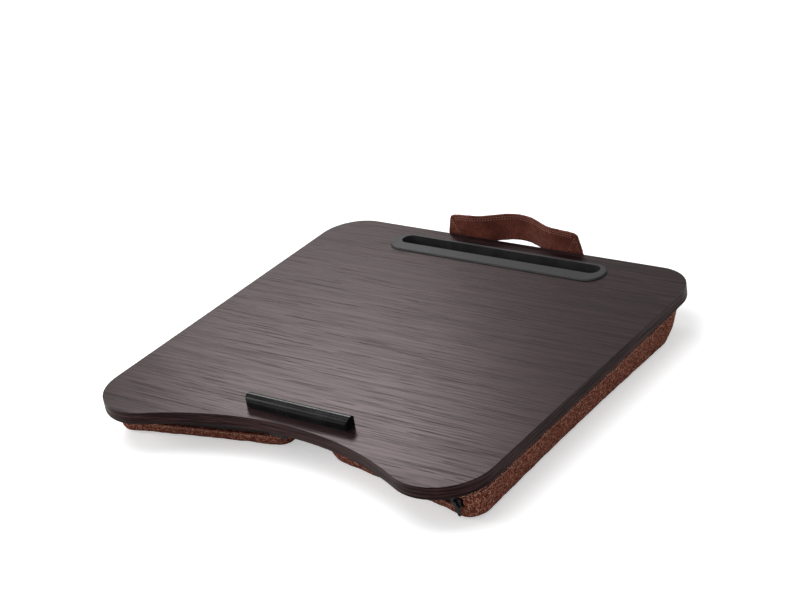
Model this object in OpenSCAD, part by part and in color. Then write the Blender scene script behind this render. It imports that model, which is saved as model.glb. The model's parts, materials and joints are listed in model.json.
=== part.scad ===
// Cushioned lap tray: a wood-faced board with a tablet slot and a stop bar, carried on two
// zipped bolsters, with a carrying strap sewn in along the rear edge.
// Frame: millimetres, +X to the user's right, +Y to the rear, +Z up, origin under the middle.

/* [Board] */
// Overall width of the board
board_w = 411; // [320:1:560]
// Depth from the front lobes to the rear edge
board_d = 403; // [300:1:520]
// Radius of the two front lobes
front_corner_r = 47.5; // [30:0.5:70]
// Radius of the hollow front edge between the lobes
hollow_r = 310; // [260:1:900]
// Radius of the rear corners
rear_corner_r = 40; // [15:0.5:80]
// Thickness of the wood laminate
laminate_t = 0.8; // [0.4:0.1:2]
// Thickness of the core panel
core_t = 10.2; // [6:0.1:20]
// Thickness of the backing sheet
backing_t = 1; // [0.6:0.1:3]
// Thickness of the edge band
band_t = 0.8; // [0.4:0.1:2]
// Step of the backing sheet behind the edge band
backing_step = 0.4; // [0:0.1:2]

/* [Slot] */
// Clear width of the slot
slot_w = 226; // [120:1:280]
// Clear depth of the slot, front to rear
slot_d = 16.3; // [10:0.1:30]
// Distance from the rear edge of the board to the middle of the slot
slot_back = 27.7; // [20:0.1:60]
// Land in front of the slot
land_front = 13.7; // [4:0.1:25]
// Land behind the slot
land_rear = 3.8; // [3:0.1:15]
// Land at each end of the slot
land_end = 8.5; // [5:0.1:20]
// Height of the trim over the board
trim_h = 1.8; // [1:0.1:4]
// Width of the bevel round the trim
trim_bevel = 1.1; // [0.3:0.1:3]
// Wall of the slot body
slot_wall = 1.8; // [1:0.1:3]
// Gap between the slot body and its cut-out
slot_gap = 0.4; // [0.2:0.1:1]
// Floor of the slot body
slot_floor = 1.5; // [1:0.1:3]
// Thickness of the pad on the slot floor
pad_t = 1.5; // [0.5:0.1:3]

/* [Stop bar] */
// Length of the stop bar
bar_w = 112; // [60:1:240]
// Depth of the stop bar
bar_d = 12; // [6:0.5:20]
// Height of the stop bar over its tape
bar_h = 11.2; // [6.5:0.1:20]
// Rounding of the bar's ends in plan
bar_end_r = 3; // [1:0.1:5]
// Front face of the bar behind the front lobes
bar_y = 47.5; // [40:0.5:120]
// Offset of the bar to the user's right
bar_x = 5; // [-30:0.5:30]
// Thickness of the adhesive tape
tape_t = 0.8; // [0.3:0.1:2]

/* [Bolsters] */
// Height of the cushion under the board
cushion_h = 32; // [24:0.5:60]
// Thickness of the fabric panel on the underside of the board
panel_t = 1; // [0.6:0.1:2]
// Thickness of the cover
cover_t = 1.2; // [0.8:0.1:2]
// Inset of the cover from the board at the top of the outer side
side_top = 5; // [3:0.5:20]
// Inset of the bottom seam at the outer side
side_seam = 7; // [5:0.5:25]
// Inset of the cover from the board at the top of the rear
rear_top = 24; // [3:0.5:60]
// Inset of the bottom seam at the rear
rear_seam = 34.5; // [5:0.5:70]
// Half width of the channel between the bolsters at the top
channel_top = 18; // [12:0.5:60]
// Half width of the channel at the bottom seam
channel_seam = 24; // [14:0.5:70]
// Bottom seam behind the front lobes, at their middle
front_set = 33; // [28:0.1:60]
// Angle of the front walls in plan
front_angle = 11.6; // [6:0.1:20]
// Forward lean of the front walls
front_lean = 2; // [0:0.1:4]
// How far the walls swell
swell = 2.3; // [0.5:0.1:2.5]
// How far the bottom seam is drawn in between the corners
draw_in = 1.5; // [0:0.1:4]
// Height of the bottom seam over the table
seam_z = 3.5; // [2:0.1:6]
// Width over which the bottom panel curves down to the table
crown_w = 18; // [8:0.5:30]

/* [Zips] */
// Height of the zips over the table
zip_z = 19; // [14:0.1:22]
// Length of each zip
zip_len = 127; // [80:1:135]
// Pitch of the teeth on one tape
tooth_pitch = 3; // [2.4:0.1:4]
// Width of a tooth along the zip
tooth_w = 1.2; // [0.8:0.05:1.2]
// Length of the slider
slider_len = 11; // [9:0.5:14]
// Length of the pull from its rivet
pull_len = 12.5; // [8:0.1:12.5]
// Resting angle of the left pull below level
pull_left_angle = 18; // [5:1:80]
// Resting angle of the right pull below level
pull_right_angle = 66; // [5:1:85]

/* [Handle] */
// Distance between the outer edges of the strap's feet
handle_span = 160; // [120:1:220]
// Height of the strap over the board
handle_rise = 24; // [12:0.5:40]
// Width of the strap
strap_w = 28; // [18:0.5:34]
// Thickness of the strap
strap_t = 2.5; // [1.5:0.1:4]
// How far the middle of the strap bows out behind its feet
handle_bow = 14; // [11:0.5:20]
// Length of the sewn ends under the board
handle_tuck = 32; // [15:1:60]

/* [Hidden] */
$fn = 96;
tiny = 0.01;

// Board levels and plan
under_z = cushion_h;
core_z = under_z + backing_t;
laminate_z = core_z + core_t;
top_z = laminate_z + laminate_t;
lobe_x = board_w / 2 - front_corner_r;
hollow_y = front_corner_r - sqrt(pow(hollow_r + front_corner_r, 2) - lobe_x * lobe_x);

// Handle: flat legs, and between them two easing arcs and a middle arc of one radius
handle_gap = 0.8;
foot_y = board_d + handle_gap + strap_t / 2;
inner_x = handle_span / 2 - strap_w;
bend_r = (pow(inner_x, 2) + pow(handle_bow, 2)) / (4 * handle_bow);
bend_a = asin(inner_x / 2 / bend_r);
handle_out = handle_gap + handle_bow + strap_t;
strap_z = core_z + 0.2;
tab_out = 0.5;
shift_y = -(board_d + handle_out) / 2;

// Slot
slot_y = board_d - slot_back;
trim_y = slot_y + (land_rear - land_front) / 2;
trim_d = slot_d + land_front + land_rear;
trim_w = slot_w + 2 * land_end;
trim_edge = trim_h - trim_bevel;

// Bolsters: their walls run from the top panel down to the bottom seam
wall_z = cushion_h - panel_t;
arc_n = 5;
side_n = [5, 5, 5, 8];
wall_n = 7;
crown_n = 3;
lining_n = 4;
top_radii = [16, 20, 14, 12];
seam_radii = [15, 32, 14, 12];
fill_gap = 0.3;
fill_set = 6;

// Zips: measured inward from the line of the front seam, and from the middle of the chain
zip_end_right = board_w / 2 - side_seam - 12;
zip_end_left = channel_seam + 2;
tape_y = -0.5;
web_t = 0.6;
tape_edge = 1.2;
tape_top = 5.6;
tooth_y = [-1.9, 1.5];
head_z = 0.9;
chain_z = 2.6;
slider_z = 3.6;
plate_y = [-3.5, -2.3, 1.9, 2.8];
flange_y = [-0.8, 0.4];
flange_z = 2.9;
window_z = 4.2;
nose = 3.4;
rivet_x = -5.5;
rivet_r = 1;
rivet_fit = 0.05;
rivet_y = -5.3;
pull_y = -5.1;
pull_t = 1.2;

// ---- helpers -------------------------------------------------------------------------

function lerp(a, b, u) = a + (b - a) * u;
function unit(v) = v / norm(v);

// Front seam of a bolster at a distance x from the middle of the tray
function front_line(x) = front_set - tan(front_angle) * (x - lobe_x);

// Corners of a bolster's outline: outer front, outer rear, inner rear, inner front.
// s runs from the top (0) to the bottom seam (1); d insets it, set moves the front wall back.
function corners(s, d, set) =
    let (
        xo = board_w / 2 - lerp(side_top, side_seam, s) - d,
        xi = lerp(channel_top, channel_seam, s) + d,
        yr = board_d - lerp(rear_top, rear_seam, s) - d,
        back = (d + set - front_lean * (1 - s)) / cos(front_angle)
    )
    [[xo, front_line(xo) + back], [xo, yr], [xi, yr], [xi, front_line(xi) + back]];

function radii(s, d) = [for (i = [0:3]) max(lerp(top_radii[i], seam_radii[i], s) - d, 2)];

// Rounded corner i: centre, first angle, turn, end point, start point, outward normal after it
function corner(v, r, i) =
    let (
        e1 = unit(v[i] - v[(i + 3) % 4]),
        e2 = unit(v[(i + 1) % 4] - v[i]),
        turn = acos(e1 * e2),
        t = r[i] * tan(turn / 2)
    )
    [
        v[i] - e1 * t + r[i] * [-e1.y, e1.x],
        atan2(e1.y, e1.x) - 90,
        turn,
        v[i] + e2 * t,
        v[i] - e1 * t,
        [e2.y, -e2.x],
    ];

// One closed outline, swollen by b and drawn in by w between its corners
function outline(v, r, b, w) =
    let (k = [for (i = [0:3]) corner(v, r, i)])
    [for (i = [0:3]) each concat(
        [for (j = [0:arc_n])
            let (a = k[i][1] + k[i][2] * j / arc_n)
            k[i][0] + (r[i] + 0.8 * b) * [cos(a), sin(a)]],
        [for (j = [1:side_n[i] - 1])
            let (u = j / side_n[i], m = sin(180 * u))
            lerp(k[i][3], k[(i + 1) % 4][4], u) + k[i][5] * (b * (0.8 + 0.2 * m) - w * m)]
    )];

// Wall ring at height z, inset by d
function wall_ring(z, d, set) =
    let (s = min(max((wall_z - z) / (wall_z - seam_z), 0), 1))
    [for (p = outline(corners(s, d, set), radii(s, d), swell * pow(sin(180 * s), 0.6),
                      draw_in * pow(s, 4)))
        [p.x, p.y, z]];

// Ring j of the bottom panel, from the seam to its flat
function crown_ring(j, d, set) =
    let (u = j / crown_n, e = d + crown_w * u)
    [for (p = outline(corners(1, e, set), radii(1, e), 0, draw_in * (1 - 0.7 * u)))
        [p.x, p.y, seam_z * pow(1 - u, 2) + d]];

function body_rings(n, z0, d, set) = concat(
    [for (i = [0:n]) wall_ring(lerp(z0, seam_z + d, i / n), d, set)],
    [for (j = [1:crown_n]) crown_ring(j, d, set)]
);

function middle(ring) = [for (i = [0:2]) (min([for (p = ring) p[i]]) + max([for (p = ring) p[i]])) / 2];

// Solid through a stack of rings, listed from the top down, its flat ends fanned from their middles
module loft(rings) {
    n = len(rings[0]);
    last = (len(rings) - 1) * n;
    polyhedron(
        points = concat(
            [for (ring = rings) each ring],
            [middle(rings[0]), middle(rings[len(rings) - 1])]
        ),
        faces = concat(
            [for (k = [0:len(rings) - 2], i = [0:n - 1])
                [k * n + i, k * n + (i + 1) % n, (k + 1) * n + (i + 1) % n]],
            [for (k = [0:len(rings) - 2], i = [0:n - 1])
                [k * n + i, (k + 1) * n + (i + 1) % n, (k + 1) * n + i]],
            [for (i = [0:n - 1]) [last + n, (i + 1) % n, i]],
            [for (i = [0:n - 1]) [last + n + 1, last + i, last + (i + 1) % n]]
        ),
        convexity = 4
    );
}

// The board's outline, inset
module plan(inset) {
    for (side = [-1, 1]) {
        translate([side * (board_w / 2 - rear_corner_r), board_d - rear_corner_r])
            circle(rear_corner_r - inset);
        translate([side * lobe_x, front_corner_r])
            circle(front_corner_r - inset);
    }
    difference() {
        union() {
            translate([-board_w / 2 + inset, front_corner_r])
                square([board_w - 2 * inset, board_d - front_corner_r - rear_corner_r]);
            translate([-board_w / 2 + rear_corner_r, front_corner_r])
                square([board_w - 2 * rear_corner_r, board_d - front_corner_r - inset]);
            polygon([[-lobe_x, front_corner_r], [0, hollow_y], [lobe_x, front_corner_r]]);
        }
        translate([0, hollow_y])
            circle(hollow_r + inset);
    }
}

// Stadium of overall width w and depth d, centred on x = 0
module stadium(w, d, y) {
    translate([-(w - d) / 2, y - d / 2])
        square([w - d, d]);
    for (side = [-1, 1])
        translate([side * (w - d) / 2, y])
            circle(d / 2);
}

module rounded_rect(w, d, r) {
    translate([-w / 2 + r, -d / 2])
        square([w - 2 * r, d]);
    translate([-w / 2, -d / 2 + r])
        square([w, d - 2 * r]);
    for (sx = [-1, 1], sy = [-1, 1])
        translate([sx * (w / 2 - r), sy * (d / 2 - r)])
            circle(r);
}

// Whole tray placed over the origin
module placed() {
    translate([0, shift_y, 0])
        children();
}

// ---- board ---------------------------------------------------------------------------

module slot_cutout(h) {
    linear_extrude(h)
        stadium(slot_w + 2 * (slot_wall + slot_gap), slot_d + 2 * (slot_wall + slot_gap), slot_y);
}

module wood_laminate() {
    color("#6b5c5b")
        placed()
            difference() {
                translate([0, 0, laminate_z])
                    linear_extrude(laminate_t)
                        plan(0);
                translate([0, 0, laminate_z - 1])
                    slot_cutout(laminate_t + 2);
            }
}

module edge_band() {
    color("#4a3d3b")
        placed()
            translate([0, 0, core_z])
                linear_extrude(core_t)
                    difference() {
                        plan(0);
                        plan(band_t);
                    }
}

module board_core() {
    color("#b9a184")
        placed()
            difference() {
                translate([0, 0, core_z])
                    linear_extrude(core_t)
                        plan(band_t);
                translate([0, 0, core_z - 1])
                    slot_cutout(core_t + 2);
            }
}

// Plan of the strap's sewn ends, let into the backing sheet
module handle_tabs(gap) {
    for (side = [-1, 1])
        translate([side * (inner_x + strap_w / 2), board_d + tab_out - handle_tuck / 2])
            square([strap_w + 2 * gap, handle_tuck + 2 * gap], center = true);
}

module backing_sheet() {
    color("#1d1b1b")
        placed()
            translate([0, 0, under_z])
                linear_extrude(backing_t)
                    difference() {
                        plan(backing_step);
                        handle_tabs(0.3);
                    }
}

// ---- slot ----------------------------------------------------------------------------

// Half of the trim's section: flat land, bevel and edge, drawn outward from the middle line
module trim_section() {
    polygon([
        [0, 0],
        [trim_d / 2, 0],
        [trim_d / 2, trim_edge],
        [trim_d / 2 - trim_bevel, trim_h],
        [0, trim_h],
    ]);
}

module trim_ring() {
    straight = trim_w - trim_d;
    for (side = [-1, 1])
        translate([side * straight / 2, 0, 0])
            rotate([0, 0, 90 * (side - 1) - 90])
                rotate_extrude(angle = 180)
                    trim_section();
    for (side = [0, 180])
        rotate([0, 0, side])
            translate([-straight / 2, 0, 0])
                rotate([90, 0, 90])
                    linear_extrude(straight)
                        trim_section();
}

module slot_insert() {
    color("#4b4e4d")
        placed()
            difference() {
                union() {
                    translate([0, trim_y, top_z])
                        trim_ring();
                    translate([0, 0, core_z])
                        linear_extrude(top_z - core_z + tiny)
                            stadium(slot_w + 2 * slot_wall, slot_d + 2 * slot_wall, slot_y);
                }
                translate([0, 0, core_z + slot_floor])
                    linear_extrude(top_z - core_z + trim_h)
                        stadium(slot_w, slot_d, slot_y);
            }
}

module slot_pad() {
    color("#202020")
        placed()
            translate([0, 0, core_z + slot_floor])
                linear_extrude(pad_t)
                    stadium(slot_w - 0.6, slot_d - 0.6, slot_y);
}

// ---- stop bar ------------------------------------------------------------------------

// A loaf section along the board, its ends rounded in plan
module stop_bar() {
    color("#151515")
        placed()
            translate([bar_x, bar_y + bar_d / 2, top_z + tape_t])
                intersection() {
                    translate([-bar_w / 2, 0, 0])
                        rotate([90, 0, 90])
                            linear_extrude(bar_w) {
                                translate([-bar_d / 2, 0])
                                    square([bar_d, bar_h - bar_d / 2]);
                                translate([0, bar_h - bar_d / 2])
                                    circle(bar_d / 2);
                            }
                    linear_extrude(bar_h + 1)
                        rounded_rect(bar_w, bar_d, bar_end_r);
                }
}

module stop_bar_tape() {
    color("#2c2c2c")
        placed()
            translate([bar_x, bar_y + bar_d / 2, top_z])
                linear_extrude(tape_t)
                    rounded_rect(bar_w - 1, bar_d - 1, bar_end_r - 0.5);
}

// ---- bolsters ------------------------------------------------------------------------

// A bolster's pieces are drawn on the right and mirrored to the left
module on_side(side) {
    placed()
        mirror([side < 0 ? 1 : 0, 0, 0])
            children();
}

module panel(side) {
    color("#8c3f2c")
        on_side(side)
            translate([0, 0, wall_z])
                linear_extrude(panel_t)
                    polygon(outline(corners(0, 0, 0), radii(0, 0), 0, 0));
}

module cover(side) {
    color("#9a4632")
        difference() {
            on_side(side)
                difference() {
                    loft(body_rings(wall_n, wall_z, 0, 0));
                    loft(body_rings(lining_n, wall_z + 1, cover_t, 0));
                }
            zip_window(side);
        }
}

module filling(side) {
    color("#e6e2d8")
        on_side(side)
            loft(body_rings(lining_n, wall_z - fill_gap, cover_t + fill_gap, fill_set));
}

module panel_left() { panel(-1); }
module panel_right() { panel(1); }
module cover_left() { cover(-1); }
module cover_right() { cover(1); }
module filling_left() { filling(-1); }
module filling_right() { filling(1); }

// ---- zips ----------------------------------------------------------------------------

// Frame of a zip: x = 0 at its closed end and negative along it, y inward, z from the chain
module on_zip(side) {
    end = side > 0 ? zip_end_right : -zip_end_left;
    placed()
        translate([end, front_line(abs(end)), zip_z])
            rotate([0, 0, -side * front_angle])
                children();
}

module zip_window(side) {
    on_zip(side)
        translate([-zip_len - 1, -9, -window_z])
            cube([zip_len + 2.5, 9 + 1.5, 2 * window_z]);
}

module tapes() {
    for (up = [0, 1])
        mirror([0, 0, up])
            translate([-zip_len - 4, tape_y, tape_edge])
                cube([zip_len + 2.5, web_t, tape_top - tape_edge]);
}

// A tooth grips its tape from both sides and reaches over the middle with its head
module tooth() {
    rotate([90, 0, 90])
        linear_extrude(tooth_w)
            polygon([
                [tooth_y[0], chain_z],
                [tape_y, chain_z],
                [tape_y, tape_edge],
                [tape_y + web_t, tape_edge],
                [tape_y + web_t, chain_z],
                [tooth_y[1], chain_z],
                [tooth_y[1], -head_z],
                [tooth_y[0], -head_z],
            ]);
}

module tooth_row(up) {
    count = floor((zip_len - nose - 6) / tooth_pitch);
    mirror([0, 0, up ? 0 : 1])
        for (i = [0:count - 1])
            translate([-nose - 0.4 - tooth_w - (i + (up ? 0 : 0.5)) * tooth_pitch, 0, 0])
                tooth();
}

// Stops: a clamp on each tape at the closed end, one block over both at the open end
module stops() {
    for (up = [0, 1], y = [[tooth_y[0], tape_y], [tape_y + web_t, tooth_y[1]]])
        mirror([0, 0, up])
            translate([-nose, y[0], tape_edge])
                cube([1.6, y[1] - y[0], chain_z - tape_edge]);
    difference() {
        translate([-zip_len, tooth_y[0], -chain_z])
            cube([2.4, tooth_y[1] - tooth_y[0], 2 * chain_z]);
        for (up = [0, 1])
            mirror([0, 0, up])
                translate([-zip_len - 1, tape_y, tape_edge])
                    cube([5, web_t, chain_z]);
    }
}

// Half of the slider: a plate with a flange along each side
module slider_half(plate, inner, flange) {
    translate([-slider_len, 0, 0])
        rotate([90, 0, 90])
            linear_extrude(slider_len)
                polygon([
                    [plate, -slider_z],
                    [flange, -slider_z],
                    [flange, -flange_z],
                    [inner, -flange_z],
                    [inner, flange_z],
                    [flange, flange_z],
                    [flange, slider_z],
                    [plate, slider_z],
                ]);
}

module slider() {
    slider_half(plate_y[0], plate_y[1], flange_y[0]);
    slider_half(plate_y[3], plate_y[2], flange_y[1]);
    translate([-nose, plate_y[1], -head_z])
        cube([nose - 0.2, plate_y[2] - plate_y[1], 2 * head_z]);
    translate([rivet_x, plate_y[0] + tiny, 0])
        rotate([90, 0, 0])
            cylinder(h = plate_y[0] - rivet_y + tiny, r = rivet_r);
    translate([rivet_x, rivet_y + tiny, 0])
        rotate([90, 0, 0])
            cylinder(h = 0.7, r1 = 1.7, r2 = 1.2);
}

// The pull swings on the slider's rivet: an eye, a grip with a round end and two grip grooves
module pull(angle) {
    translate([rivet_x, pull_y + pull_t, 0])
        rotate([90, angle, 0])
            linear_extrude(pull_t)
                difference() {
                    union() {
                        circle(2.3);
                        translate([0, -1.5])
                            square([4, 3]);
                        translate([3.5, -2.1])
                            square([pull_len - 5.6, 4.2]);
                        translate([pull_len - 2.1, 0])
                            circle(2.1);
                    }
                    circle(rivet_r + rivet_fit);
                    translate([pull_len - 2.3, 0])
                        circle(0.8);
                    for (x = [5, 6.5], s = [-1, 1])
                        translate([x, s * 2.1])
                            circle(0.35);
                }
}

module zip_left_tapes() { color("#191919") on_zip(-1) tapes(); }
module zip_left_upper_teeth() { color("#101010") on_zip(-1) tooth_row(true); }
module zip_left_lower_teeth() { color("#101010") on_zip(-1) tooth_row(false); }
module zip_left_stops() { color("#101010") on_zip(-1) stops(); }
module zip_left_slider() { color("#0c0c0c") on_zip(-1) slider(); }
module zip_left_pull() { color("#0c0c0c") on_zip(-1) pull(pull_left_angle); }
module zip_right_tapes() { color("#191919") on_zip(1) tapes(); }
module zip_right_upper_teeth() { color("#101010") on_zip(1) tooth_row(true); }
module zip_right_lower_teeth() { color("#101010") on_zip(1) tooth_row(false); }
module zip_right_stops() { color("#101010") on_zip(1) stops(); }
module zip_right_slider() { color("#0c0c0c") on_zip(1) slider(); }
module zip_right_pull() { color("#0c0c0c") on_zip(1) pull(pull_right_angle); }

// ---- handle --------------------------------------------------------------------------

// Face of the strap seen from the rear: two legs and a crown with mitred shoulders
module strap_face() {
    rise = top_z - strap_z + handle_rise;
    foot = handle_span / 2;
    difference() {
        polygon([
            [-foot, 0],
            [foot, 0],
            [foot - 7, rise - 5.5],
            [foot - 11, rise - 3.6],
            [foot - 23, rise - 2.6],
            [0, rise],
            [-foot + 23, rise - 2.6],
            [-foot + 11, rise - 3.6],
            [-foot + 7, rise - 5.5],
        ]);
        polygon([
            [-foot + strap_w, -1],
            [foot - strap_w, -1],
            [foot - strap_w, 1],
            [foot - strap_w - 7, rise - strap_w - 2.6],
            [0, rise - strap_w],
            [-foot + strap_w + 7, rise - strap_w - 2.6],
            [-foot + strap_w, 1],
        ]);
    }
}

// Upright sheet of the strap's thickness, following its bends in plan
module strap_bend(h, start, turn) {
    rotate([0, 0, start])
        rotate_extrude(angle = turn)
            translate([bend_r - strap_t / 2, 0])
                square([strap_t, h]);
}

module strap_sheet(h) {
    for (side = [-1, 1]) {
        translate([side * (inner_x + strap_w / 2), foot_y, h / 2])
            cube([strap_w, strap_t, h], center = true);
        translate([side * inner_x, foot_y + bend_r, 0])
            strap_bend(h, -90 - (side > 0 ? bend_a : 0), bend_a);
    }
    translate([0, foot_y + handle_bow - bend_r, 0])
        strap_bend(h, 90 - bend_a, 2 * bend_a);
}

module handle_strap() {
    color("#4a2019")
        placed()
            intersection() {
                translate([0, board_d + 2 * handle_out, strap_z])
                    rotate([90, 0, 0])
                        linear_extrude(3 * handle_out)
                            strap_face();
                strap_sheet(top_z + handle_rise + 5);
            }
}

module handle_ends() {
    color("#3c1a14")
        placed()
            translate([0, 0, under_z])
                linear_extrude(backing_t)
                    handle_tabs(0);
}

// ---- nodes ---------------------------------------------------------------------------

wood_laminate();
edge_band();
board_core();
backing_sheet();
slot_insert();
slot_pad();
stop_bar();
stop_bar_tape();
panel_left();
panel_right();
cover_left();
cover_right();
filling_left();
filling_right();
zip_left_tapes();
zip_left_upper_teeth();
zip_left_lower_teeth();
zip_left_stops();
zip_left_slider();
zip_left_pull();
zip_right_tapes();
zip_right_upper_teeth();
zip_right_lower_teeth();
zip_right_stops();
zip_right_slider();
zip_right_pull();
handle_strap();
handle_ends();
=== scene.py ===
"""Looks of the cushioned lap tray: simulated bolsters, sewn strap, stitches, materials, light and camera."""

import json
import math

import bmesh
import bpy
import numpy as np
from mathutils import Matrix, Vector
from mathutils.bvhtree import BVHTree


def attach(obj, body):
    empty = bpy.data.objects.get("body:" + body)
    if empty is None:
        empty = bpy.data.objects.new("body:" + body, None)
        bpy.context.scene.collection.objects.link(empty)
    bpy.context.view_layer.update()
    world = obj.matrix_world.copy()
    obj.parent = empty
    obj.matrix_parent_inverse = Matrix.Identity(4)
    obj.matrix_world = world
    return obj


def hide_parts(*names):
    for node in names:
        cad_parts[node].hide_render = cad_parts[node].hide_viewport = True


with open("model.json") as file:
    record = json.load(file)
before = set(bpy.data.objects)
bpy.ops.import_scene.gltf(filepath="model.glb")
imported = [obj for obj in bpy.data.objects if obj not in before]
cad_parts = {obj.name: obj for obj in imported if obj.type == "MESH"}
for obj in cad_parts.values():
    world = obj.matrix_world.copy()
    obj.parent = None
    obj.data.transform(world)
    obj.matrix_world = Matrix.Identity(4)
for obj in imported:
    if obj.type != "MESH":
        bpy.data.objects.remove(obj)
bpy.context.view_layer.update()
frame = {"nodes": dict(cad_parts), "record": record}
nodes = frame["nodes"]
scene = bpy.context.scene
rng = np.random.default_rng(11)

MM = 0.001

# The source's named sizes that the soft pieces share, in mm
BOARD_W, BOARD_D = 411.0, 403.0
SHIFT_Y = -210.15  # from the source's board frame to the part's frame
TOP_Z = 44.0
CUSHION_H = 32.0
WALL_Z, SEAM_Z = 31.0, 3.5  # where the bolsters' wall begins and where it is sewn
SIDE_TOP, SIDE_SEAM = 5.0, 7.0
REAR_TOP, REAR_SEAM = 24.0, 34.5
CHANNEL_TOP, CHANNEL_SEAM = 18.0, 24.0
FRONT_SET, FRONT_ANGLE, FRONT_LEAN = 33.0, math.radians(11.6), 2.0
LOBE_X = BOARD_W / 2 - 47.5
SWELL, DRAW_IN, CROWN_W = 2.3, 1.5, 18.0
TOP_RADII, SEAM_RADII = (16, 20, 14, 12), (15, 32, 14, 12)
ZIP_Z, ZIP_LEN, WINDOW_Z = 19.0, 127.0, 4.2
ZIP_END = {1: 186.5, -1: 26.0}  # by side, right (1) or left (-1)

STITCH_ARCH, STITCH_DIP = 1.5, 0.7  # of a stitch over and into the cloth, in thread radii


# ---- mesh helpers --------------------------------------------------------------------


def mesh_object(name, verts, faces, smooth=True):
    """A mesh object from points in metres."""
    mesh = bpy.data.meshes.new(name)
    mesh.from_pydata([tuple(v) for v in verts], [], [tuple(f) for f in faces])
    mesh.validate()
    obj = bpy.data.objects.new(name, mesh)
    scene.collection.objects.link(obj)
    if smooth:
        mesh.polygons.foreach_set("use_smooth", [True] * len(mesh.polygons))
    return obj


def points_of(mesh):
    co = np.empty(len(mesh.vertices) * 3, np.float32)
    mesh.vertices.foreach_get("co", co)
    return co.reshape(-1, 3).astype(float)


def set_points(mesh, co):
    mesh.vertices.foreach_set("co", np.asarray(co, np.float32).ravel())
    mesh.update()


def unit(v):
    return v / np.maximum(np.linalg.norm(v, axis=-1, keepdims=True), 1e-12)


def applied(obj):
    """The object with its modifiers applied."""
    graph = bpy.context.evaluated_depsgraph_get()
    mesh = bpy.data.meshes.new_from_object(obj.evaluated_get(graph), depsgraph=graph)
    obj.modifiers.clear()
    old = obj.data
    obj.data = mesh
    bpy.data.meshes.remove(old)
    return obj


def tube(path, normals, rx, ry, sides=8, closed=False, wave=None):
    """Verts and faces of a tube along a path: rx across the normals, ry along them."""
    path, normals = np.asarray(path, float), unit(np.asarray(normals, float))
    n = len(path)
    ahead = np.roll(path, -1, 0) - np.roll(path, 1, 0)
    if not closed:
        ahead[0], ahead[-1] = path[1] - path[0], path[-1] - path[-2]
    ahead = unit(ahead)
    side = unit(np.cross(ahead, normals))
    verts, faces = [], []
    for i in range(n):
        k = 1.0 if wave is None else wave[i]
        for j in range(sides):
            a = 2 * math.pi * j / sides
            verts.append(path[i] + side[i] * rx * k * math.cos(a) + normals[i] * ry * k * math.sin(a))
    last = n if closed else n - 1
    for i in range(last):
        for j in range(sides):
            a, b = i * sides, (i + 1) % n * sides
            faces.append((a + j, a + (j + 1) % sides, b + (j + 1) % sides, b + j))
    if not closed:
        faces.append(tuple(range(sides))[::-1])
        faces.append(tuple((n - 1) * sides + j for j in range(sides)))
    return verts, faces


def stitch_row(path, normals, pitch, length, radius, lift=0.0):
    """Verts and faces of a row of sewn stitches: each one arches over the cloth and dips at both ends."""
    path, normals = np.asarray(path, float), unit(np.asarray(normals, float))
    step = np.linalg.norm(np.diff(path, axis=0), axis=1)
    at = np.concatenate([[0], np.cumsum(step)])
    count = int(at[-1] / pitch)
    verts, faces = [], []
    for i in range(count):
        start = (i + 0.5) * at[-1] / count - length / 2
        u = np.linspace(0, 1, 5)
        s = start + length * u
        p = np.stack([np.interp(s, at, path[:, k]) for k in range(3)], 1)
        n = unit(np.stack([np.interp(s, at, normals[:, k]) for k in range(3)], 1))
        arch = radius * STITCH_ARCH * np.sin(math.pi * u) - radius * STITCH_DIP
        v, f = tube(p + n * (arch + lift)[:, None], n, radius, radius, 6,
                    wave=0.6 + 0.4 * np.sin(math.pi * u))
        faces += [tuple(k + len(verts) for k in face) for face in f]
        verts += v
    return verts, faces


def gather(name, parts):
    """One object from several lists of verts and faces."""
    verts, faces = [], []
    for v, f in parts:
        faces += [tuple(k + len(verts) for k in face) for face in f]
        verts += list(v)
    return mesh_object(name, verts, faces)


# ---- materials -----------------------------------------------------------------------


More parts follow.
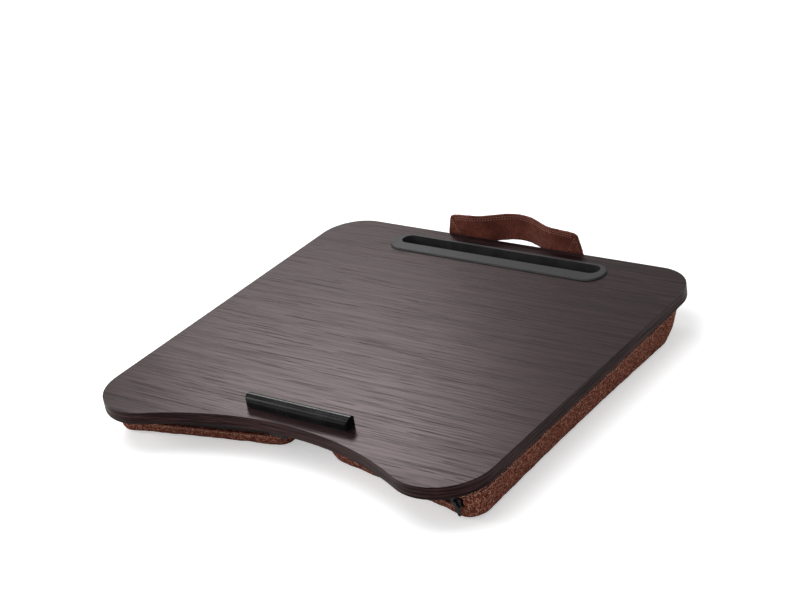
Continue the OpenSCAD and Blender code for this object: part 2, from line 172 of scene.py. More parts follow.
class Nodes:
    """Short hand for building a material's node tree."""

    def __init__(self, name):
        self.mat = bpy.data.materials.new(name)
        self.mat.use_nodes = True
        self.tree = self.mat.node_tree
        self.tree.nodes.clear()
        self.out = self.add("ShaderNodeOutputMaterial")
        self.shader = self.add("ShaderNodeBsdfPrincipled")
        self.link(self.shader.outputs[0], self.out.inputs[0])

    def add(self, kind, **props):
        node = self.tree.nodes.new(kind)
        for key, value in props.items():
            setattr(node, key, value)
        return node

    def link(self, a, b):
        self.tree.links.new(a, b)

    def put(self, socket, value):
        if isinstance(value, bpy.types.NodeSocket):
            self.link(value, socket)
        else:
            socket.default_value = value

    def place(self, scale=(1, 1, 1), turn=(0, 0, 0), move=(0, 0, 0), uv=None):
        """Coordinates: the object's own, or a named UV map's, scaled, turned and moved."""
        if uv:
            source = self.add("ShaderNodeUVMap", uv_map=uv).outputs[0]
        else:
            source = self.add("ShaderNodeTexCoord").outputs["Object"]
        mapping = self.add("ShaderNodeMapping")
        self.link(source, mapping.inputs["Vector"])
        mapping.inputs["Scale"].default_value = scale
        mapping.inputs["Rotation"].default_value = turn
        mapping.inputs["Location"].default_value = move
        return mapping.outputs[0]

    def noise(self, where, scale, detail=2.0, rough=0.5, distort=0.0):
        node = self.add("ShaderNodeTexNoise")
        self.link(where, node.inputs["Vector"])
        node.inputs["Scale"].default_value = scale
        node.inputs["Detail"].default_value = detail
        node.inputs["Roughness"].default_value = rough
        node.inputs["Distortion"].default_value = distort
        return node.outputs["Fac"]

    def math(self, kind, a, b=0.0, clamp=False):
        node = self.add("ShaderNodeMath", operation=kind, use_clamp=clamp)
        self.put(node.inputs[0], a)
        self.put(node.inputs[1], b)
        return node.outputs[0]

    def span(self, value, low, high, to_low=0.0, to_high=1.0):
        node = self.add("ShaderNodeMapRange", clamp=True)
        self.put(node.inputs["Value"], value)
        for name, number in zip(("From Min", "From Max", "To Min", "To Max"), (low, high, to_low, to_high)):
            node.inputs[name].default_value = number
        return node.outputs[0]

    def ramp(self, value, *stops):
        node = self.add("ShaderNodeValToRGB")
        self.put(node.inputs[0], value)
        elements = node.color_ramp.elements
        while len(elements) < len(stops):
            elements.new(0.5)
        for element, (at, colour) in zip(elements, stops):
            element.position = at
            element.color = (*colour, 1)
        return node.outputs[0]

    def mix(self, factor, a, b, kind="MIX"):
        node = self.add("ShaderNodeMix", data_type="RGBA", blend_type=kind)
        self.put(node.inputs[0], factor)
        for socket, value in ((node.inputs[6], a), (node.inputs[7], b)):
            if isinstance(value, bpy.types.NodeSocket):
                self.link(value, socket)
            else:
                socket.default_value = (*value, 1)
        return node.outputs[2]

    def split(self, where):
        node = self.add("ShaderNodeSeparateXYZ")
        self.link(where, node.inputs[0])
        return node.outputs

    def bump(self, height, distance, strength=1.0, after=None):
        node = self.add("ShaderNodeBump")
        self.link(height, node.inputs["Height"])
        node.inputs["Distance"].default_value = distance
        node.inputs["Strength"].default_value = strength
        if after is not None:
            self.link(after, node.inputs["Normal"])
        return node.outputs[0]

    def surface(self, colour, rough, normal=None, **more):
        self.put(self.shader.inputs["Base Color"], colour)
        self.put(self.shader.inputs["Roughness"], rough)
        if normal is not None:
            self.link(normal, self.shader.inputs["Normal"])
        for name, value in more.items():
            self.shader.inputs[name.replace("_", " ")].default_value = value
        return self.mat


LINE_PITCH = 0.0034  # from one grain line to the next, in metres
LINE_WANDER, LINE_SHARE = 5.0, 0.09  # pitches that a line strays, and its weight against the noise
WOOD_SHEEN_TINT = (1.0, 0.54, 0.58, 1.0)


def wood(name, dark, light, flecks, sheen, rough, edge=False, pore=0.00005):
    """Dark open-grained veneer, its grain along X, or round the board on its edge."""
    n = Nodes(name)

    def grain(along, across, detail, roughness, move=(0, 0, 0)):
        scale = (along, along, across) if edge else (along, across, across)
        return n.noise(n.place(scale, move=move), 1.0, detail, roughness, 0.25)

    broad = grain(1.6, 16, 3, 0.5)
    at = n.split(n.place())[2 if edge else 1]
    wander = grain(3, 70, 2, 0.5, (2, 1, 0))
    turns = n.math("ADD", n.math("MULTIPLY", at, 1 / LINE_PITCH), n.math("MULTIPLY", wander, LINE_WANDER))
    ridge = n.math("SINE", n.math("MULTIPLY", turns, 2 * math.pi))
    streaks = grain(9, 420, 2, 0.5, (0.3, 1.7, 0.2))
    lines = n.math("ADD", streaks, n.math("MULTIPLY", ridge, LINE_SHARE))
    fine = grain(40, 1500, 2, 0.6, (4, 0, 1))
    pores = grain(14, 760, 2, 0.5, (1, 5, 2))
    body = n.mix(n.span(lines, 0.43, 0.60), light, dark)
    body = n.mix(n.span(fine, 0.54, 0.7, 0, 0.6), body, flecks)
    body = n.mix(n.span(broad, 0.35, 0.65, 0.0, 0.15), body, dark)
    deep = n.span(pores, 0.6, 0.64)
    body = n.mix(n.math("MULTIPLY", deep, 0.55), body, tuple(c * 0.35 for c in dark))
    height = n.math("SUBTRACT", n.math("MULTIPLY", fine, 0.35), deep)
    gloss = n.span(lines, 0.35, 0.65, rough - 0.01, rough + 0.05)
    gloss = n.math("ADD", gloss, n.math("MULTIPLY", deep, 0.12))
    normal = n.bump(height, pore, 0.6)
    return n.surface(body, gloss, normal, Specular_IOR_Level=sheen, Specular_Tint=WOOD_SHEEN_TINT)


def woven(name, yarns, pitch=0.0013, rough=0.95, depth=0.0005, uv="weave"):
    """Weave of flecked yarns with slight diagonal ribs. yarns is (dark, middle, fleck, share of flecks)."""
    dark, middle, fleck, share = yarns
    n = Nodes(name)
    where = n.place((1 / pitch, 1 / pitch, 1 / pitch), uv=uv)
    x, y, _ = n.split(where)
    wave_x = n.math("SINE", n.math("MULTIPLY", x, math.pi))
    wave_y = n.math("SINE", n.math("MULTIPLY", y, math.pi))
    over = n.math("MULTIPLY", wave_x, wave_y)
    rib = n.math("SINE", n.math("MULTIPLY", n.math("ADD", x, y), 0.5 * math.pi))
    warp_on_top = n.span(n.math("ADD", over, n.math("MULTIPLY", rib, 0.35)), -0.08, 0.08)
    warp = n.noise(n.place((1 / pitch, 0.3 / pitch, 0), uv=uv), 1.0, 2, 0.6)
    weft = n.noise(n.place((0.3 / pitch, 1 / pitch, 0), move=(7, 3, 0), uv=uv), 1.0, 2, 0.6)
    stops = ((0.36, dark), (0.49, middle), (0.49 + share, middle), (0.54 + share, fleck))
    colour = n.mix(warp_on_top, n.ramp(weft, *stops), n.ramp(warp, *stops))
    slub = n.noise(n.place((1, 1, 1), uv=uv), 75, 3, 0.6)
    colour = n.mix(n.span(slub, 0.4, 0.75, 0, 0.4), colour, dark)
    swell = n.math("POWER", n.math("ABSOLUTE", over), 0.6)
    # painted shade: the colour darkens where the yarns dip between their crossings
    hollow_shade = n.span(swell, 0.0, 0.5, 0.3, 1.0)
    colour = n.mix(hollow_shade, tuple(c * 0.4 for c in dark), colour)
    fibre = n.noise(n.place((1, 1, 1), uv=uv), 2600, 2, 0.6)
    height = n.math("ADD", swell, n.math("MULTIPLY", n.math("ADD", fibre, rib), 0.22))
    return n.surface(colour, rough, n.bump(height, depth, 0.8), Specular_IOR_Level=0.1)


def leather(name, dark, light, rough=0.6, grain=900, depth=0.00012, sheen=0.15):
    """Pebbled leather with painted shade in its creases."""
    n = Nodes(name)
    where = n.place()
    cell = n.add("ShaderNodeTexVoronoi", feature="DISTANCE_TO_EDGE")
    n.link(where, cell.inputs["Vector"])
    cell.inputs["Scale"].default_value = grain
    pebble = n.span(cell.outputs["Distance"], 0.0, 0.16)
    blotch = n.noise(where, 55, 4, 0.6)
    mottle = n.noise(where, 320, 3, 0.6)
    colour = n.mix(n.span(blotch, 0.35, 0.65), dark, light)
    colour = n.mix(n.span(mottle, 0.45, 0.7, 0, 0.6), colour, tuple(c * 0.6 for c in dark))
    # painted shade: darker along the creases between the pebbles
    colour = n.mix(n.math("SUBTRACT", 1.0, pebble), colour, tuple(c * 0.45 for c in dark))
    height = n.math("ADD", pebble, n.math("MULTIPLY", mottle, 0.8))
    gloss = n.span(mottle, 0.3, 0.7, rough - 0.06, rough + 0.1)
    return n.surface(colour, gloss, n.bump(height, depth, 0.7), Specular_IOR_Level=sheen)


def moulded(name, colour, rough, wear=0.35, grain=1400, depth=0.00005, sheen=0.5, metal=0.0):
    """Moulded plastic or enamelled metal: fine grain, darker specks and faint paler smears."""
    n = Nodes(name)
    where = n.place()
    fine = n.noise(where, grain, 2, 0.5)
    smear = n.noise(n.place((1, 0.35, 1), turn=(0, 0, 0.4)), 38, 4, 0.6, 0.6)
    pale = tuple(min(1.0, c * (1 + wear) + 0.012 * wear) for c in colour)
    tint = n.mix(n.span(smear, 0.4, 0.7), colour, pale)
    tint = n.mix(n.span(fine, 0.5, 0.75, 0, 0.5), tint, tuple(c * 0.6 for c in colour))
    gloss = n.span(smear, 0.3, 0.7, rough - 0.05, rough + 0.08)
    return n.surface(tint, gloss, n.bump(fine, depth, 0.6), Specular_IOR_Level=sheen, Metallic=metal)


def ribbon(name, colour, pitch=0.0011):
    """Woven tape: fine diagonal ribs."""
    n = Nodes(name)
    where = n.place((1, 1, 1), turn=(0, 0.9, 0.5))
    x, _, z = n.split(where)
    rib = n.math("SINE", n.math("MULTIPLY", n.math("ADD", x, z), 2 * math.pi / pitch))
    speck = n.noise(where, 1500, 2, 0.6)
    # painted shade: darker in the grooves between the ribs
    tint = n.mix(n.span(rib, -0.6, 0.8), tuple(c * 0.45 for c in colour), colour)
    tint = n.mix(n.span(speck, 0.55, 0.75), tint, tuple(c * 1.8 + 0.01 for c in colour))
    return n.surface(tint, 0.85, n.bump(rib, 0.0001, 0.6), Specular_IOR_Level=0.25)


def thread(name, colour):
    """Twisted sewing thread."""
    n = Nodes(name)
    where = n.place()
    twist = n.noise(where, 2400, 2, 0.7)
    patch = n.noise(where, 130, 3, 0.6)
    tint = n.mix(n.span(patch, 0.35, 0.7), colour, tuple(c * 0.55 for c in colour))
    return n.surface(tint, 0.7, n.bump(twist, 0.00008, 0.7), Specular_IOR_Level=0.3)


# Colours from dark to light; the yarns' last number is their share of flecks
VENEER = ((0.0030, 0.0015, 0.0016), (0.0240, 0.0128, 0.0132), (0.056, 0.032, 0.034))
EDGE_VENEER = ((0.004, 0.0015, 0.0015), (0.030, 0.0142, 0.0132), (0.085, 0.048, 0.044))
RUST = ((0.045, 0.009, 0.006), (0.23, 0.061, 0.037), (0.54, 0.28, 0.19), 0.055)
FOAM = (0.006, 0.006, 0.006)

finish_of = {
    "wood": wood("veneer", *VENEER, sheen=0.2, rough=0.3),
    "wood_edge": wood("edge_veneer", *EDGE_VENEER, sheen=0.12, rough=0.4, edge=True),
    "core": moulded("chipboard", (0.28, 0.19, 0.12), 0.9, grain=700, depth=0.0002, sheen=0.2),
    "backing": moulded("backing_film", (0.010, 0.009, 0.009), 0.6, sheen=0.12),
    "slot_trim": moulded("soft_plastic", (0.022, 0.021, 0.022), 0.45, sheen=0.22),
    "slot_pad": moulded("foam_rubber", FOAM, 0.75, wear=1.6, grain=420, depth=0.0003, sheen=0.12),
    "stop_bar": moulded("satin_plastic", (0.003, 0.003, 0.003), 0.24, sheen=0.18),
    "tape": moulded("tape_film", (0.02, 0.02, 0.02), 0.6),
    "cover_fabric": woven("rust_weave", RUST),
    "zip_tape": ribbon("zip_ribbon", (0.075, 0.028, 0.020)),
    "zip_teeth": moulded("zip_plastic", (0.008, 0.008, 0.009), 0.38, sheen=0.3),
    "zip_metal": moulded("zip_enamel", (0.007, 0.007, 0.007), 0.32, sheen=0.4),
    "strap_leather": leather("strap_leather", (0.108, 0.025, 0.016), (0.215, 0.061, 0.040)),
}
rust_thread = thread("rust_thread", (0.62, 0.43, 0.36))
strap_thread = thread("strap_thread", (0.42, 0.23, 0.17))


def dress(obj, material):
    obj.data.materials.clear()
    obj.data.materials.append(material)
    return obj


slot_of = {row["node"]: row["material_slot"] for row in frame["record"]["subparts"]}
for name, obj in nodes.items():
    finish = finish_of.get(slot_of.get(name))
    if finish:
        for material_slot in obj.material_slots:
            material_slot.material = finish


# ---- bolsters ------------------------------------------------------------------------

VOXEL = 0.0045
CLOTH_FRAMES = 20
PRESSURE, SPARE = 4.0, 0.02
CLOTH_REACH = 3.2  # the furthest that the cloth may swell, in mm
HELD_FROM, HELD_FULLY = 27.5, 31.0  # heights between which the wall comes to be held by the board
WINDOW_FRONT = 9.0  # how far in front of the zip its window and the lips' rays begin
WALL_CREASE = math.radians(48)

def lerp(a, b, u):
    return a + (b - a) * u


def front_line(x):
    """The front seam's y at a distance x from the tray's middle."""
    return FRONT_SET - math.tan(FRONT_ANGLE) * (x - LOBE_X)


def corners(s, d):
    """Corners of the right bolster's outline, s from its top (0) to its seam (1), inset by d."""
    xo = BOARD_W / 2 - lerp(SIDE_TOP, SIDE_SEAM, s) - d
    xi = lerp(CHANNEL_TOP, CHANNEL_SEAM, s) + d
    yr = BOARD_D - lerp(REAR_TOP, REAR_SEAM, s) - d
    back = (d - FRONT_LEAN * (1 - s)) / math.cos(FRONT_ANGLE)
    return np.array([(xo, front_line(xo) + back), (xo, yr), (xi, yr), (xi, front_line(xi) + back)])


def outline(s, d, swell, draw, arc=14, side=(44, 24, 44, 24)):
    """One closed outline of the right bolster, swollen and drawn in between its corners."""
    v = corners(s, d)
    r = [max(lerp(a, b, s) - d, 2) for a, b in zip(TOP_RADII, SEAM_RADII)]
    turn = []
    for i in range(4):
        e1, e2 = unit(v[i] - v[i - 1]), unit(v[(i + 1) % 4] - v[i])
        angle = math.acos(np.clip(e1 @ e2, -1, 1))
        t = r[i] * math.tan(angle / 2)
        centre = v[i] - e1 * t + r[i] * np.array([-e1[1], e1[0]])
        turn.append((centre, math.atan2(e1[1], e1[0]) - math.pi / 2, angle, v[i] + e2 * t,
                     v[i] - e1 * t, np.array([e2[1], -e2[0]])))
    points = []
    for i in range(4):
        centre, first, angle, end, _, out = turn[i]
        for j in range(arc + 1):
            a = first + angle * j / arc
            points.append(centre + (r[i] + 0.8 * swell) * np.array([math.cos(a), math.sin(a)]))
        for j in range(1, side[i]):
            u = j / side[i]
            m = math.sin(math.pi * u)
            points.append(lerp(end, turn[(i + 1) % 4][4], u) + out * (swell * (0.8 + 0.2 * m) - draw * m))
    return np.array(points)


def profile(swell):
    """Rings of the right bolster from its top to the middle of its flat bottom, in mm."""
    rings = []
    for z in np.linspace(CUSHION_H, SEAM_Z, 12):
        s = min(max((WALL_Z - z) / (WALL_Z - SEAM_Z), 0), 1)
        b = swell * math.sin(math.pi * s) ** 0.6 if 0 < s < 1 else 0.0
        ring = outline(s, 0, b, DRAW_IN * s**4)
        rings.append(np.c_[ring, np.full(len(ring), z)])
    for u in np.linspace(0.2, 1, 5):
        ring = outline(1, CROWN_W * u, 0, DRAW_IN * (1 - 0.7 * u))
        rings.append(np.c_[ring, np.full(len(ring), SEAM_Z * (1 - u) ** 2)])
    return rings


def zip_frame(side):
    """Origin and axes (along, inward, up) of a zip, in metres."""
    a = -side * FRONT_ANGLE
    along = np.array([math.cos(a), math.sin(a), 0])
    inward = np.array([-math.sin(a), math.cos(a), 0])
    end = ZIP_END[side]
    origin = np.array([side * end, front_line(end) + SHIFT_Y, ZIP_Z]) * MM
    return origin, along, inward


def in_zip(side, co):
    origin, along, inward = zip_frame(side)
    p = (co - origin) / MM
    return np.c_[p @ along, p @ inward, p[:, 2]]


def from_zip(side, local):
    origin, along, inward = zip_frame(side)
    local = np.asarray(local, float)
    return origin + MM * (local[:, :1] * along + local[:, 1:2] * inward + local[:, 2:] * np.array([0, 0, 1]))


def smooth_step(v, low, high):
    u = np.clip((v - low) / (high - low), 0, 1)
    return u * u * (3 - 2 * u)


def cloth_swell(obj, held, pressure, spare):
    """Runs the cloth with the held points pinned and returns where its points end."""
    group = obj.vertex_groups.new(name="held")
    for w in (0.25, 0.5, 0.75, 1.0):
        at = np.nonzero(np.abs(held - w) <= 0.125)[0].tolist()
        if at:
            group.add(at, w, "REPLACE")
    cloth = obj.modifiers.new("cloth", "CLOTH")
    set_up = cloth.settings
    set_up.quality = 7
    set_up.mass = 0.25
    set_up.tension_stiffness = set_up.compression_stiffness = 18
    set_up.shear_stiffness = 6
    set_up.bending_stiffness = 0.35
    set_up.use_pressure = True
    set_up.uniform_pressure_force = pressure
    set_up.vertex_group_mass = "held"
    set_up.shrink_min = -spare
    set_up.effector_weights.gravity = 0
    cloth.collision_settings.use_collision = False
    cloth.point_cache.frame_start, cloth.point_cache.frame_end = 1, CLOTH_FRAMES
    for f in range(1, CLOTH_FRAMES + 1):
        scene.frame_set(f)
    graph = bpy.context.evaluated_depsgraph_get()
    moved = points_of(obj.evaluated_get(graph).data)
    obj.modifiers.remove(cloth)
    scene.frame_set(1)
    return moved


def weave_map(obj, side):
    """UV map in metres: round the walls and up them, and flat over the top and bottom."""
    seam = outline(0.5, 0, SWELL, 0, 14, (160, 60, 160, 60))
    seam = np.c_[seam[:, 0] * side, seam[:, 1] + SHIFT_Y] * MM
    step = np.linalg.norm(np.roll(seam, -1, 0) - seam, axis=1)
    at = np.concatenate([[0], np.cumsum(step)])
    around = at[-1]
    mesh = obj.data
    co = points_of(mesh)
    s = np.empty(len(co))
    for i in range(0, len(co), 4000):
        part = co[i : i + 4000, None, :2]
        a, b = seam[None], np.roll(seam, -1, 0)[None]
        d = b - a
        t = np.clip(((part - a) * d).sum(2) / (d * d).sum(2), 0, 1)
        gap = np.linalg.norm(part - a - d * t[..., None], axis=2)
        k = gap.argmin(1)
        rows = np.arange(len(k))
        s[i : i + 4000] = at[k] + t[rows, k] * step[k]
    layer = mesh.uv_layers.new(name="weave")
    uv = np.empty((len(mesh.loops), 2))
    for face in mesh.polygons:
        loops = list(face.loop_indices)
        ids = [mesh.loops[k].vertex_index for k in loops]
        if abs(face.normal.z) > 0.75:
            uv[loops] = co[ids, :2]
        else:
            around_here = s[ids].copy()
            if np.ptp(around_here) > around / 2:
                around_here[around_here < around / 2] += around
            uv[loops] = np.c_[around_here, co[ids, 2]]
    layer.uv.foreach_set("vector", uv.astype(np.float32).ravel())


def waves(u, lengths, sizes):
    """Sum of sine waves of seeded phase along u."""
    total = np.zeros_like(u)
    for length, size in zip(lengths, sizes):
        total += size * np.sin(2 * math.pi * (u / length + rng.random()))
    return total


def make_bolster(side, label):
    rings = profile(SWELL * 0.45)
    n = len(rings[0])
    verts = np.concatenate(rings + [[rings[0].mean(0)], [rings[-1].mean(0)]])
    verts[:, 0] *= side
    verts[:, 1] += SHIFT_Y
    faces = [
        (k * n + i, k * n + (i + 1) % n, (k + 1) * n + (i + 1) % n, (k + 1) * n + i)
        for k in range(len(rings) - 1)
        for i in range(n)
    ]
    last = (len(rings) - 1) * n
    faces += [(last + n, (i + 1) % n, i) for i in range(n)]
    faces += [(last + n + 1, last + i, last + (i + 1) % n) for i in range(n)]
    obj = mesh_object(f"bolster_{label}", verts * MM, faces)
    bm = bmesh.new()
    bm.from_mesh(obj.data)
    bmesh.ops.recalc_face_normals(bm, faces=bm.faces)
    bm.to_mesh(obj.data)
    bm.free()
    remesh = obj.modifiers.new("remesh", "REMESH")
    remesh.mode = "VOXEL"
    remesh.voxel_size = VOXEL
    applied(obj)
    mesh = obj.data
    rest = points_of(mesh)
    z = rest[:, 2] / MM
    local = in_zip(side, rest)
    front = (np.abs(local[:, 1]) < 14) & (local[:, 0] > -ZIP_LEN - 12) & (local[:, 0] < 10)
    near_zip = (
        (1 - smooth_step(np.abs(local[:, 2]), 7, 11))
        * (1 - smooth_step(np.abs(local[:, 1]), 9, 12))
        * smooth_step(local[:, 0], -ZIP_LEN - 10, -ZIP_LEN - 3)
        * (1 - smooth_step(local[:, 0], 4, 12))
    )
    top = smooth_step(z, HELD_FROM, HELD_FULLY)
    held = np.maximum(near_zip, top)
    rim = np.abs(z - SEAM_Z) < 2.4
    shape = outline(1, 3.5, 0, DRAW_IN)
    inside = point_in(shape * [side, 1] + [0, SHIFT_Y], rest[:, :2] / MM)
    held = np.maximum(held, np.where(rim & ~inside, 0.75, 0))
    moved = cloth_swell(obj, held, PRESSURE, SPARE)
    step = moved - rest
    size = np.linalg.norm(step, axis=1, keepdims=True)
    reach = CLOTH_REACH * MM
    step = step / np.maximum(size, 1e-9) * reach * np.tanh(size / reach)
    out = points_normals(mesh)
    belly = np.sin(math.pi * np.clip((WALL_Z - z) / (WALL_Z - SEAM_Z), 0, 1)) ** 0.6
    level = (np.abs(out[:, 2]) < 0.6) * belly * 0.55 * SWELL * MM
    co = rest + step * (1 - near_zip[:, None]) + out * (level * near_zip)[:, None]
    co[:, 2] = np.clip(co[:, 2], 0.0, CUSHION_H * MM)
    local = in_zip(side, co)
    local[:, 1] = np.where(front, np.maximum(local[:, 1], -3.3), local[:, 1])
    co = np.where(front[:, None], from_zip(side, local), co)
    set_points(mesh, co)
    subdivide = obj.modifiers.new("fine", "SUBSURF")
    subdivide.levels = subdivide.render_levels = 1
    applied(obj)
    co = points_of(obj.data)
    co[:, 2] = np.clip(co[:, 2], 0.0, CUSHION_H * MM)
    set_points(obj.data, co)
    cut_window(obj, side)
    weave_map(obj, side)
    dress(obj, finish_of["cover_fabric"])
    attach(obj, "tray")
    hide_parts(f"panel_{label}", f"cover_{label}", f"filling_{label}")
    return obj


def point_in(polygon, points):
    """Which points lie inside a closed polygon."""
    x, y = points[:, 0], points[:, 1]
    inside = np.zeros(len(points), bool)
    a, b = polygon, np.roll(polygon, -1, 0)
    for (x1, y1), (x2, y2) in zip(a, b):
        if y1 == y2:
            continue
        crosses = (y1 > y) != (y2 > y)
        inside ^= crosses & (x < (x2 - x1) * (y - y1) / (y2 - y1) + x1)
    return inside


def points_normals(mesh):
    out = np.empty(len(mesh.vertices) * 3, np.float32)
    mesh.vertex_normals.foreach_get("vector", out)
    return out.reshape(-1, 3).astype(float)


def cut_window(obj, side):
    """Cuts the zip's recess out of the front wall."""
    ends, depths, heights = (-ZIP_LEN - 1, 1.5), (-WINDOW_FRONT, 3.4), (-WINDOW_Z, WINDOW_Z)
    local = np.array([(x, y, z) for x in ends for y in depths for z in heights])
    faces = [(0, 1, 3, 2), (4, 6, 7, 5), (0, 4, 5, 1), (2, 3, 7, 6), (0, 2, 6, 4), (1, 5, 7, 3)]
    cutter = mesh_object("cutter", from_zip(side, local), faces, smooth=False)
    bm = bmesh.new()
    bm.from_mesh(cutter.data)
    bmesh.ops.recalc_face_normals(bm, faces=bm.faces)
    bm.to_mesh(cutter.data)
    bm.free()
    cut = obj.modifiers.new("window", "BOOLEAN")
    cut.operation = "DIFFERENCE"
    cut.solver = "EXACT"
    cut.object = cutter
    applied(obj)
    bpy.data.objects.remove(cutter)
    mesh = obj.data
    mesh.polygons.foreach_set("use_smooth", [True] * len(mesh.polygons))
    mesh.set_sharp_from_angle(angle=WALL_CREASE)


class Surface:
    """Ray and nearest-point look-ups on a finished piece."""

    def __init__(self, obj):
        graph = bpy.context.evaluated_depsgraph_get()
        self.tree = BVHTree.FromObject(obj, graph)

    def onto(self, points, inward, back=0.012, reach=0.03):
        """Where rays from outside, going inward, meet the piece: points and normals."""
        found, normals = [], []
        for p, d in zip(np.asarray(points, float), unit(np.asarray(inward, float))):
            hit, normal, _, _ = self.tree.ray_cast(Vector(p - d * back), Vector(d), reach)
            if hit is not None:
                found.append(tuple(hit))
                normals.append(tuple(normal))
        return np.array(found), np.array(normals)


def wall_line(side, height, start=0.0, end=1.0, count=500):
    """Points round a bolster's wall at a height, with directions inward, both in metres."""
    s = (WALL_Z - height) / (WALL_Z - SEAM_Z)
    ring = outline(min(max(s, 0), 1), 0, SWELL, 0, 24, (160, 70, 160, 70)) * [side, 1] + [0, SHIFT_Y]
    ring = np.concatenate([ring, ring[:1]])
    step = np.linalg.norm(np.diff(ring, axis=0), axis=1)
    at = np.concatenate([[0], np.cumsum(step)])
    want = np.linspace(start, end, count) * at[-1]
    p = np.stack([np.interp(want, at, ring[:, k]) for k in range(2)], 1)
    ahead = unit(np.gradient(p, axis=0))
    inward = np.c_[-ahead[:, 1], ahead[:, 0], np.zeros(count)] * side
    return np.c_[p, np.full(count, height)] * MM, inward


def smoothed(values, width=5):
    kernel = np.hanning(width + 2)[1:-1]
    kernel /= kernel.sum()
    padded = np.pad(values, ((width // 2, width // 2), (0, 0)), mode="edge")
    return np.stack([np.convolve(padded[:, k], kernel, "valid") for k in range(values.shape[1])], 1)


TOPSTITCH_Z = 25.4


def sew(side, label, obj):
    """Topstitching, the bottom seam and the folded lips of the zip, on one bolster."""
    skin = Surface(obj)
    rows = []
    p, d = wall_line(side, TOPSTITCH_Z)
    at = in_zip(side, p)
    keep = np.nonzero((np.abs(at[:, 1]) > 14) | (at[:, 0] > 9) | (at[:, 0] < -ZIP_LEN - 6))[0]
    first = keep[np.argmax(np.diff(np.concatenate([keep, [keep[0] + len(p)]])))] + 1
    p, d = np.roll(p, -first, 0), np.roll(d, -first, 0)
    p, n = skin.onto(p[: len(keep)], d[: len(keep)])
    rows.append(stitch_row(p, n, 3.4 * MM, 2.5 * MM, 0.27 * MM))
    for up in (-1, 1):
        along = np.linspace(-ZIP_LEN - 1.5, 2, 120)
        local = np.array([(x, -WINDOW_FRONT, up * (WINDOW_Z + 2.3)) for x in along])
        _, _, inward = zip_frame(side)
        q, n = skin.onto(from_zip(side, local), np.tile(inward, (120, 1)), 0.004)
        rows.append(stitch_row(q, n, 3.0 * MM, 2.2 * MM, 0.24 * MM))
    stitches = dress(gather(f"stitching_{label}", rows), rust_thread)

    p, d = wall_line(side, SEAM_Z, count=700)
    found, n = skin.onto(p, d)
    found, n = smoothed(found, 9), smoothed(n, 9)
    ripple = 1 + waves(np.arange(len(found)) * 1.0, (23, 9.7, 5.3), (0.10, 0.07, 0.05))
    seam = tube(found, n, 1.15 * MM, 0.75 * MM, 8, closed=True, wave=ripple)
    lips = []
    for up in (-1, 1):
        along = np.linspace(-ZIP_LEN - 1, 1.5, 90)
        local = np.array([(x, -WINDOW_FRONT, up * (WINDOW_Z + 0.5)) for x in along])
        q, n = skin.onto(from_zip(side, local), np.tile(inward, (90, 1)), 0.004)
        wobble = 1 + waves(np.arange(len(q)) * 1.0, (17, 6.1), (0.08, 0.05))
        lips.append(tube(q, n, 0.55 * MM, 0.5 * MM, 8, wave=wobble))
    welts = gather(f"welts_{label}", [seam] + lips)
    box_map(welts)
    dress(welts, finish_of["cover_fabric"])
    for piece in (stitches, welts):
        piece.parent = obj
    return stitches, welts


def box_map(obj):
    """UV map in metres from the two axes that each face lies nearest to."""
    mesh = obj.data
    layer = mesh.uv_layers.new(name="weave")
    co = points_of(mesh)
    uv = np.empty((len(mesh.loops), 2))
    for face in mesh.polygons:
        keep = [k for k in range(3) if k != int(np.argmax(np.abs(face.normal)))]
        for k in face.loop_indices:
            uv[k] = co[mesh.loops[k].vertex_index][keep]
    layer.uv.foreach_set("vector", uv.astype(np.float32).ravel())


for side, label in ((-1, "left"), (1, "right")):
    bolster = make_bolster(side, label)
    sew(side, label, bolster)


# ---- strap ---------------------------------------------------------------------------

# The folded ends: corners (distance from the middle, height over the board) and the two layers' y
FOLD_CORNERS = [(60.2, 0.7), (76.8, 0.7), (72.9, 16.8), (71.6, 18.3)]
FOLD_LAYERS = ((403.25, 403.95), (406.15, 407.1))
FOLD_SEAMS = (
    ((62.4, 1.6), (71.2, 15.8)),
    ((64.6, 1.6), (71.8, 13.2)),
    ((75.2, 1.6), (72.5, 12.6)),
    ((73.0, 1.6), (71.4, 8.6)),
)
EDGE_SEAM_DROPS = (2.6, 4.8)  # below the strap's upper edge

def make_strap():
    """The strap's leather, from its CAD sheet, its edges rounded; strap_seams adds a mitred fold at each
    shoulder.
    """
    source = nodes["handle_strap"]
    obj = bpy.data.objects.new("strap_leather", source.data.copy())
    scene.collection.objects.link(obj)
    remesh = obj.modifiers.new("remesh", "REMESH")
    remesh.mode = "VOXEL"
    remesh.voxel_size = 0.0008
    applied(obj)
    relax = obj.modifiers.new("relax", "SMOOTH")
    relax.factor, relax.iterations = 0.5, 6
    applied(obj)
    obj.data.polygons.foreach_set("use_smooth", [True] * len(obj.data.polygons))
    dress(obj, finish_of["strap_leather"])
    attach(obj, "strap")
    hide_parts("handle_strap")
    return obj


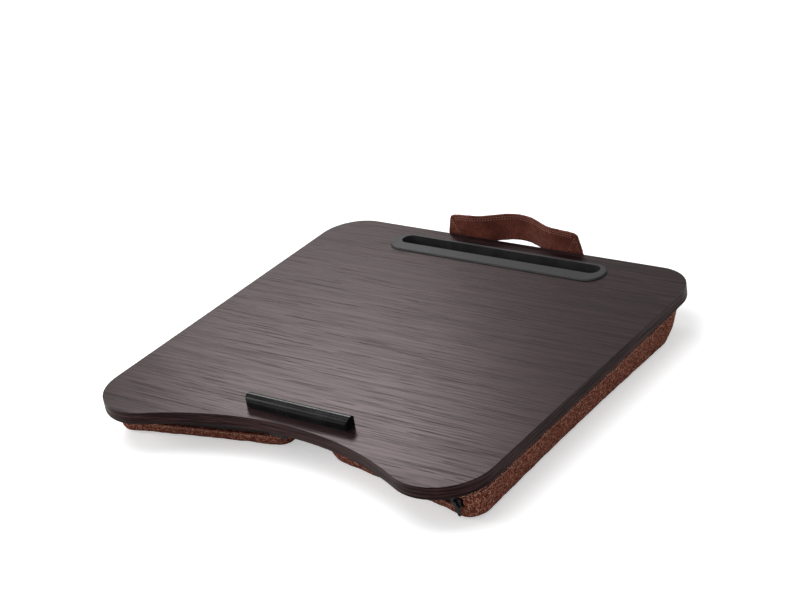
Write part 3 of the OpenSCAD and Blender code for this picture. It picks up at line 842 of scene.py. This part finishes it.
def strap_seams(strap):
    """Folded ends on both faces of the strap's legs, and the topstitching."""
    top = TOP_Z
    folds = []
    sides = [(k, k + 4, (k + 1) % 4 + 4, (k + 1) % 4) for k in range(4)]
    for side in (-1, 1):
        for layer in FOLD_LAYERS:
            ring = [(side * x, top + z) for x, z in FOLD_CORNERS]
            verts = [(x, y + SHIFT_Y, z) for y in layer for x, z in ring]
            folds.append((np.array(verts) * MM, [(0, 1, 2, 3), (7, 6, 5, 4)] + sides))
    fold = gather("strap_folds", folds)
    bm = bmesh.new()
    bm.from_mesh(fold.data)
    bmesh.ops.recalc_face_normals(bm, faces=bm.faces)
    bm.to_mesh(fold.data)
    bm.free()
    rounded = fold.modifiers.new("rounded", "BEVEL")
    rounded.width, rounded.segments = 0.3 * MM, 3
    applied(fold)
    fold.data.polygons.foreach_set("use_smooth", [True] * len(fold.data.polygons))
    fold.data.set_sharp_from_angle(angle=math.radians(50))
    dress(fold, finish_of["strap_leather"])

    skin, patch = Surface(strap), Surface(fold)
    rows = []
    for facing, start in ((1, 396.0), (-1, 424.0)):
        for side in (-1, 1):
            for a, b in FOLD_SEAMS:
                line = np.linspace(a, b, 30)
                p = np.c_[side * line[:, 0], np.full(30, start + SHIFT_Y), top + line[:, 1]] * MM
                p, n = patch.onto(p, np.tile([0, facing, 0], (30, 1)), 0, 0.04)
                if len(p) > 4:
                    rows.append(stitch_row(p, n, 2.6 * MM, 1.9 * MM, 0.24 * MM))
        for drop in EDGE_SEAM_DROPS:
            x = np.linspace(-68, 68, 260)
            rise = np.interp(np.abs(x), [0, 57, 69], [24.0, 21.4, 20.4])
            p = np.c_[x, np.full(260, start + SHIFT_Y), top + rise - drop] * MM
            p, n = skin.onto(p, np.tile([0, facing, 0], (260, 1)), 0, 0.04)
            rows.append(stitch_row(smoothed(p, 5), n, 2.8 * MM, 2.0 * MM, 0.24 * MM))
    stitches = dress(gather("strap_stitching", rows), strap_thread)
    for piece in (fold, stitches):
        piece.parent = strap


strap = make_strap()
strap_seams(strap)


# ---- floor, light and camera ---------------------------------------------------------

FLOOR_Z, FLOOR_HALF = -0.0002, 20.0
FLOOR_ALBEDO = 0.85
GLOW_NEAR, GLOW_FAR = (0.7, 0.45), (2.6, 1.0)  # distance and what the camera alone sees added there
WORLD_LIGHT, WORLD_SEEN = 0.5, 1.0
floor_corners = [(x * FLOOR_HALF, y * FLOOR_HALF, FLOOR_Z) for x, y in ((-1, -1), (1, -1), (1, 1), (-1, 1))]
floor = mesh_object("floor", floor_corners, [(0, 1, 2, 3)])
floor_look = Nodes("floor")
path = floor_look.add("ShaderNodeLightPath")
glow = floor_look.add("ShaderNodeEmission")
away = floor_look.add("ShaderNodeVectorMath", operation="LENGTH")
floor_look.link(floor_look.place(), away.inputs[0])
level = floor_look.span(away.outputs["Value"], GLOW_NEAR[0], GLOW_FAR[0], GLOW_NEAR[1], GLOW_FAR[1])
floor_look.put(glow.inputs["Strength"], floor_look.math("MULTIPLY", path.outputs["Is Camera Ray"], level))
total = floor_look.add("ShaderNodeAddShader")
floor_look.surface((FLOOR_ALBEDO,) * 3 + (1,), 0.9, Specular_IOR_Level=0.0)
floor_look.link(floor_look.shader.outputs[0], total.inputs[0])
floor_look.link(glow.outputs[0], total.inputs[1])
floor_look.link(total.outputs[0], floor_look.out.inputs[0])
dress(floor, floor_look.mat)

world = bpy.data.worlds.new("studio")
scene.world = world
world.use_nodes = True
tree = world.node_tree
tree.nodes.clear()
sky = tree.nodes.new("ShaderNodeBackground")
sky.inputs["Color"].default_value = (1, 1, 1, 1)
rays = tree.nodes.new("ShaderNodeLightPath")
level = tree.nodes.new("ShaderNodeMapRange")
level.inputs["To Min"].default_value = WORLD_LIGHT
level.inputs["To Max"].default_value = WORLD_SEEN
tree.links.new(rays.outputs["Is Camera Ray"], level.inputs["Value"])
tree.links.new(level.outputs[0], sky.inputs["Strength"])
world_out = tree.nodes.new("ShaderNodeOutputWorld")
tree.links.new(sky.outputs[0], world_out.inputs[0])


def softbox(name, place, aim, size, power):
    """A square area light at a place, aimed at a point, of a power in watts."""
    light = bpy.data.lights.new(name, "AREA")
    light.shape = "RECTANGLE"
    light.size = light.size_y = size
    light.energy = power
    obj = bpy.data.objects.new(name, light)
    scene.collection.objects.link(obj)
    obj.location = place
    obj.rotation_euler = (Vector(aim) - Vector(place)).to_track_quat("-Z", "Y").to_euler()
    return obj


softbox("rear_left", (-1.39, 1.37, 1.42), (0, -0.15, 0.04), 0.6, 11.2)
softbox("front_left", (-1.6, -1.1, 0.9), (0, 0, 0.03), 0.9, 16)
softbox("overhead", (-0.4, -0.4, 2.0), (0, 0, 0), 1.4, 20)

# The camera that was fitted to the photograph
CAMERA_PLACE = (1.01531, -1.2265, 0.86257)
CAMERA_LENS, CAMERA_SENSOR = 88.679, 36
camera_data = bpy.data.cameras.new("camera")
camera_data.sensor_width = CAMERA_SENSOR
camera_data.lens = CAMERA_LENS
camera_data.clip_end = 50
camera = bpy.data.objects.new("camera", camera_data)
scene.collection.objects.link(camera)
right = Vector((0.80741, 0.57176, -0.14555))
down = Vector((0.15235, -0.44038, -0.88479))
ahead = Vector((-0.56999, 0.69221, -0.44267))
turn = Matrix((right, -down, -ahead)).transposed()
camera.matrix_world = Matrix.Translation(CAMERA_PLACE) @ turn.to_4x4()
scene.camera = camera
scene.view_settings.view_transform = "Standard"
